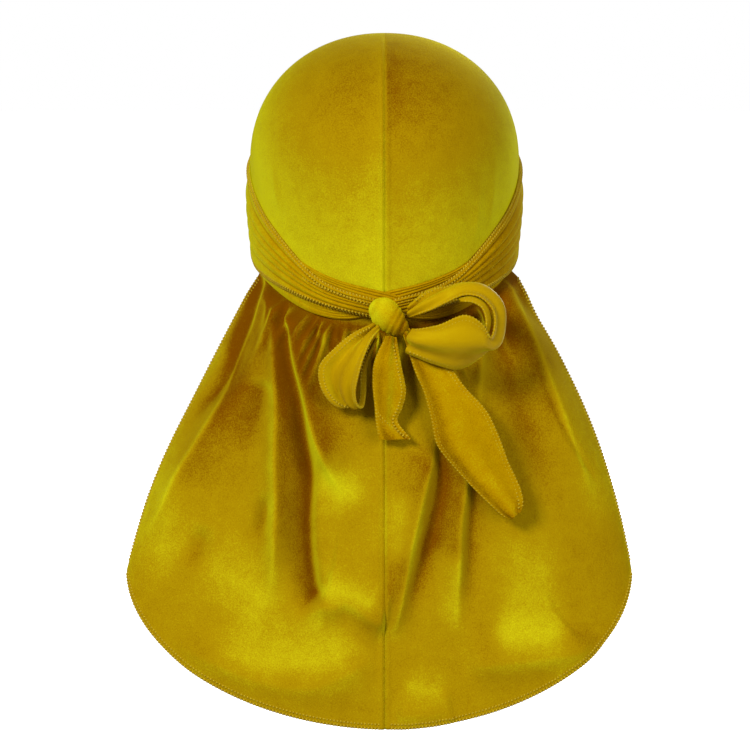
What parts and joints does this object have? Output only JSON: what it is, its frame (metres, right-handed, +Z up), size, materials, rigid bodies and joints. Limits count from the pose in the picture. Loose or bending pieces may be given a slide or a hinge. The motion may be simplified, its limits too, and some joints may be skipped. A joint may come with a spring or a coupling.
{
  "type": "velvet durag, tied as worn",
  "caption": "Velvet durag in its tied, worn form: a close seamed crown, straps wound round it and knotted in a bow at the nape, and a long gathered tail.",
  "frame": {"origin": "middle of the head space inside the crown, where the wearer's head holds the durag", "axes": "+Z up, +Y the way the wearer faces, +X to the wearer's right; the bow and tail are on the -Y side"},
  "size_m": [0.2955, 0.2188, 0.3992],
  "materials": {
    "panel_velvet": "golden yellow velvet with a soft sheen",
    "strap_velvet": "golden yellow velvet with a soft sheen"
  },
  "bodies": {
    "root": {"panel_left": "panel_velvet", "panel_right": "panel_velvet", "strap_left": "strap_velvet", "strap_right": "strap_velvet", "knot": "strap_velvet", "loop_left": "strap_velvet", "loop_right": "strap_velvet", "end_left": "strap_velvet", "end_right": "strap_velvet"}
  },
  "joints": []
}
